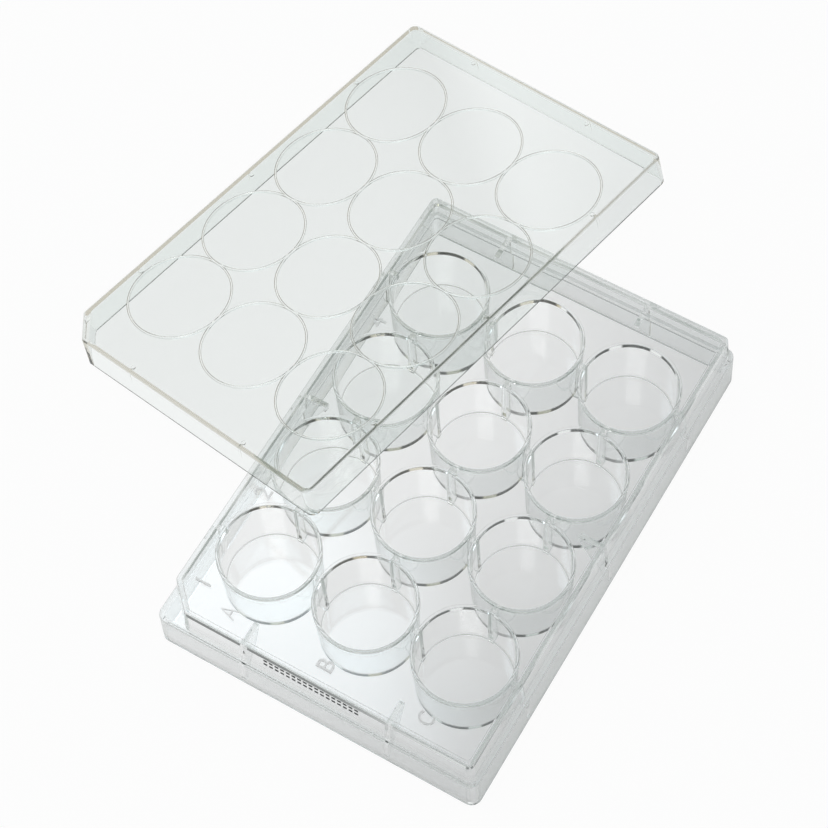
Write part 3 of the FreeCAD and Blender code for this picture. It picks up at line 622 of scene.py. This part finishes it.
# A fine ring under the top surrounds each well's rim when the lid is on.
RING_PLAY = 0.3
RING = 0.55
RING_DEPTH = 0.5
ring_in = RIM_OUT + RING_PLAY
ring_low = -PANEL - RING_DEPTH
ring_round = RING * 0.45


def hoop(name, profile):
    """A closed ring turned from a closed profile of (radius, height)."""
    points = []
    for step in range(TURN_STEPS):
        angle = 2 * math.pi * step / TURN_STEPS
        points += [Vector((r * math.cos(angle), r * math.sin(angle), z)) * MM for r, z in profile]
    count = len(profile)
    faces = []
    for step in range(TURN_STEPS):
        here, after = step * count, ((step + 1) % TURN_STEPS) * count
        faces += [[here + i, after + i, after + (i + 1) % count, here + (i + 1) % count]
                  for i in range(count)]
    return outward(solid(name, points, faces))


profile = [(ring_in, -PANEL / 2)]
profile += [(ring_in + inward, ring_low + ring_round - up)
            for inward, up in rounding(ring_round, 3)]
profile += [(ring_in + RING - inward, ring_low + ring_round - up)
            for inward, up in rounding(ring_round, 3)[::-1]]
profile.append((ring_in + RING, -PANEL / 2))
hoops = on_grid(hoop("hoops", profile), COLUMNS, ROWS, PITCH, PITCH, lid_plastic)

# Stand-offs that rest on the frame's top and, below each, a small rib down the inside of the
# skirt.
NUB, NUB_STEPS = 0.55, 24
RIB, RIB_RISE, RIB_LENGTH = 0.7, 0.15, 3.8
rail_x, rail_y = top_x - FRAME_WALL / 2, top_y - FRAME_WALL / 2


def nub(x, y):
    """A small round stand-off under the lid's top."""
    turns = [math.radians(360 * step / NUB_STEPS) for step in range(NUB_STEPS)]
    circle = [(math.cos(turn), math.sin(turn)) for turn in turns]
    return loft("nub", [[Vector((x + NUB * a, y + NUB * b, z)) * MM for a, b in circle]
                        for z in (-PANEL - NUB_HEIGHT, -PANEL / 2)])


def rib(along, side, half, offset):
    """A rib down the wall that fades out at its lower end."""
    top_face = half - shrink
    low_face = half - (LID_HEIGHT - PANEL - RIB_LENGTH) * FRAME_DRAFT
    back = low_face + LID_EDGE / 2
    shape = [(top_face - RIB_RISE, -PANEL / 2), (top_face - RIB_RISE, -PANEL),
             (low_face, -PANEL - RIB_LENGTH), (back, -PANEL - RIB_LENGTH), (back, -PANEL / 2)]
    return upright("rib", shape, RIB, along, side, offset)


small = []
for side in (-1, 1):
    for offset in (-1.5 * PITCH, 0.0, 1.5 * PITCH):
        small += [nub(offset, side * rail_y), rib("y", side, lid_in_y, offset)]
    for offset in (-GUSSET_OFFSET, GUSSET_OFFSET):
        small += [nub(side * rail_x, offset), rib("x", side, lid_in_x, offset)]
combine(lid, [hoops] + small, "UNION")

# The lean, as roll, pitch and yaw about the middle of the lid's top.
LEAN_AT = Vector((41.98, 48.99, 20.9545)) * MM
LEAN = Euler([math.radians(angle) for angle in (-12.2577, 2.86334, -11.79)], "XYZ")
lid.data.transform(Matrix.Translation(LEAN_AT) @ LEAN.to_matrix().to_4x4())
polish(lid, lid_plastic)

# The rounded edge round the top is slightly matt, so it shows as a pale blurred band.
EDGE_FROST = 0.3
EDGE_SLOPE = (0.08, 0.97)
laid_flat = LEAN.to_matrix().inverted()


def lid_frost(middle, normal):
    """How matt a face is: only those of the rounded edge, which slope, are."""
    return EDGE_FROST if EDGE_SLOPE[0] < (laid_flat @ normal).z < EDGE_SLOPE[1] else 0.0


frosted(lid, lid_frost)
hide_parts("lid")
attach(lid, "root")


# ---------------------------------------------------------------------------------------------
# The stage: a plain white table top, a dark room with tall soft strips under a pale ceiling,
# and two soft boxes.
# ---------------------------------------------------------------------------------------------

def table_finish():
    """White laminate. The camera sees it as plain white with a trace of shading. What the clear
    plastic passes on or mirrors is partly true shading, and more of it further from the lid,
    as the white it shows there is a painted glow round the lid that paints shade under the plate."""
    material = bpy.data.materials.new("white_laminate")
    material.use_nodes = True
    tree = material.node_tree
    tree.nodes.clear()
    path = add_node(tree, "ShaderNodeLightPath")
    # The share of plain white: 0.95 straight, 0.8 through the plastic and 0.5 in its mirror.
    straight = add_node(tree, "ShaderNodeMath", {"operation": "MULTIPLY", 1: 0.95},
                        {0: path.outputs["Is Camera Ray"]})
    bounced = add_node(tree, "ShaderNodeMath", {"operation": "MULTIPLY_ADD", 1: 0.3, 2: 0.5},
                       {0: path.outputs["Is Transmission Ray"]})
    # The last two are painted light: a glow that is full under the lid and fades to a third at a
    # quarter of a metre from it, so it paints shade on the table under the plate.
    where = add_node(tree, "ShaderNodeTexCoord").outputs["Object"]
    away = add_node(tree, "ShaderNodeVectorMath", {"operation": "DISTANCE", 1: (0.02, 0.12, 0.0)},
                    {0: where})
    painted_lid_glow = add_node(tree, "ShaderNodeMapRange", {
        "interpolation_type": "SMOOTHSTEP", "From Min": 0.07, "From Max": 0.25,
        "To Min": 1.14, "To Max": 0.3}, {"Value": away.outputs["Value"]})
    # The painted glow's share for rays that pass through the plastic or are mirrored by it.
    painted_glow_share = add_node(tree, "ShaderNodeMath", {"operation": "MULTIPLY"},
                     {0: bounced.outputs[0], 1: painted_lid_glow.outputs[0]})
    share = add_node(tree, "ShaderNodeMath", {"operation": "MAXIMUM"},
                     {0: straight.outputs[0], 1: painted_glow_share.outputs[0]})
    matt = add_node(tree, "ShaderNodeBsdfDiffuse", {"Color": linear("#f4f4f4")})
    glow = add_node(tree, "ShaderNodeEmission", {"Color": linear("#ffffff"), "Strength": 1.0})
    both = add_node(tree, "ShaderNodeMixShader", {}, {
        0: share.outputs[0], 1: matt.outputs[0], 2: glow.outputs[0]})
    add_node(tree, "ShaderNodeOutputMaterial", {}, {"Surface": both.outputs[0]})
    return material


HALF_TABLE = 0.9
TABLE_LEVEL = -0.0001
corners = [(HALF_TABLE * a, HALF_TABLE * b, TABLE_LEVEL)
           for a, b in ((-1, -1), (1, -1), (1, 1), (-1, 1))]
table_top = solid("table_top", corners, [(0, 1, 2, 3)])
table_top.data.materials.append(table_finish())

world = bpy.data.worlds.new("studio")
bpy.context.scene.world = world
world.use_nodes = True
tree = world.node_tree
tree.nodes.clear()
# A dark room under a pale ceiling. Tall soft strips stand round it, which the rounded edges of
# the clear plastic mirror as short bright and dark dashes. The camera sees a white backdrop.
outlook = add_node(tree, "ShaderNodeTexCoord").outputs["Generated"]
part = add_node(tree, "ShaderNodeSeparateXYZ", {}, {0: outlook}).outputs
overhead = add_node(tree, "ShaderNodeMapRange", {
    "interpolation_type": "SMOOTHSTEP", "From Min": 0.5, "From Max": 0.85}, {"Value": part["Z"]})
bearing = add_node(tree, "ShaderNodeMath", {"operation": "ARCTAN2"}, {0: part["Y"], 1: part["X"]})
turns = add_node(tree, "ShaderNodeMath", {"operation": "MULTIPLY_ADD", 1: 11.0, 2: 0.6},
                 {0: bearing.outputs[0]})
swing = add_node(tree, "ShaderNodeMath", {"operation": "SINE"}, {0: turns.outputs[0]})
strip = add_node(tree, "ShaderNodeMapRange", {
    "interpolation_type": "SMOOTHSTEP", "From Min": 0.35, "From Max": 0.7}, {
    "Value": swing.outputs[0]})
dark = add_node(tree, "ShaderNodeBackground", {"Color": linear("#303432"), "Strength": 1.0})
bright = add_node(tree, "ShaderNodeBackground", {"Color": linear("#ffffff"), "Strength": 1.0})
ceiling = add_node(tree, "ShaderNodeBackground", {"Color": linear("#b4b8b7"), "Strength": 1.0})
walls = add_node(tree, "ShaderNodeMixShader", {}, {
    0: strip.outputs[0], 1: dark.outputs[0], 2: bright.outputs[0]})
room = add_node(tree, "ShaderNodeMixShader", {}, {
    0: overhead.outputs[0], 1: walls.outputs[0], 2: ceiling.outputs[0]})
backdrop = add_node(tree, "ShaderNodeBackground", {"Color": linear("#fdfdfd"), "Strength": 1.0})
path = add_node(tree, "ShaderNodeLightPath")
seen = add_node(tree, "ShaderNodeMixShader", {}, {
    0: path.outputs["Is Camera Ray"], 1: room.outputs[0], 2: backdrop.outputs[0]})
add_node(tree, "ShaderNodeOutputWorld", {}, {"Surface": seen.outputs[0]})


def lamp(name, place, aim, size, watts, colour):
    """A square soft box at a place, turned to face a point, that fades towards its edges."""
    light = bpy.data.lights.new(name, "AREA")
    light.size = size
    light.energy = watts
    light.color = linear(colour)[:3]
    light.use_nodes = True
    spot = add_node(light.node_tree, "ShaderNodeNewGeometry")
    reach = add_node(light.node_tree, "ShaderNodeVectorMath", {
        "operation": "DISTANCE", 1: (0.5, 0.5, 0.0)}, {0: spot.outputs["Parametric"]})
    fade = add_node(light.node_tree, "ShaderNodeMapRange", {
        "interpolation_type": "SMOOTHSTEP", "From Min": 0.46, "From Max": 0.28}, {
        "Value": reach.outputs["Value"]})
    light.node_tree.links.new(fade.outputs[0], light.node_tree.nodes["Emission"].inputs["Strength"])
    box = bpy.data.objects.new(name, light)
    bpy.context.collection.objects.link(box)
    box.location = place
    box.rotation_euler = (Vector(aim) - Vector(place)).to_track_quat("-Z", "Y").to_euler()


lamp("key_box", (0.1, 0.36, 0.9), (0.1, 0.36, 0), 0.6, 2.4, "#e6f4fb")
lamp("fill_box", (-0.7, -0.2, 1.2), (0, 0, 0), 0.8, 7, "#ffffff")


# ---------------------------------------------------------------------------------------------
# The camera looks down over the plate's corner beside well A1, from about 0.6 m away.
# ---------------------------------------------------------------------------------------------

lens = bpy.data.cameras.new("camera")
lens.sensor_width = 36
lens.lens = 108.34
camera = bpy.data.objects.new("camera", lens)
bpy.context.collection.objects.link(camera)
right = Vector((0.506766, -0.861208, -0.038837))
down = Vector((-0.773441, -0.4343, -0.461706))
ahead = Vector((0.380758, 0.264015, -0.886182))
turn = Matrix((right, -down, -ahead)).transposed().to_4x4()
camera.matrix_world = Matrix.Translation((-0.215886, -0.140328, 0.539637)) @ turn
bpy.context.scene.camera = camera

bpy.context.scene.view_settings.view_transform = "Standard"
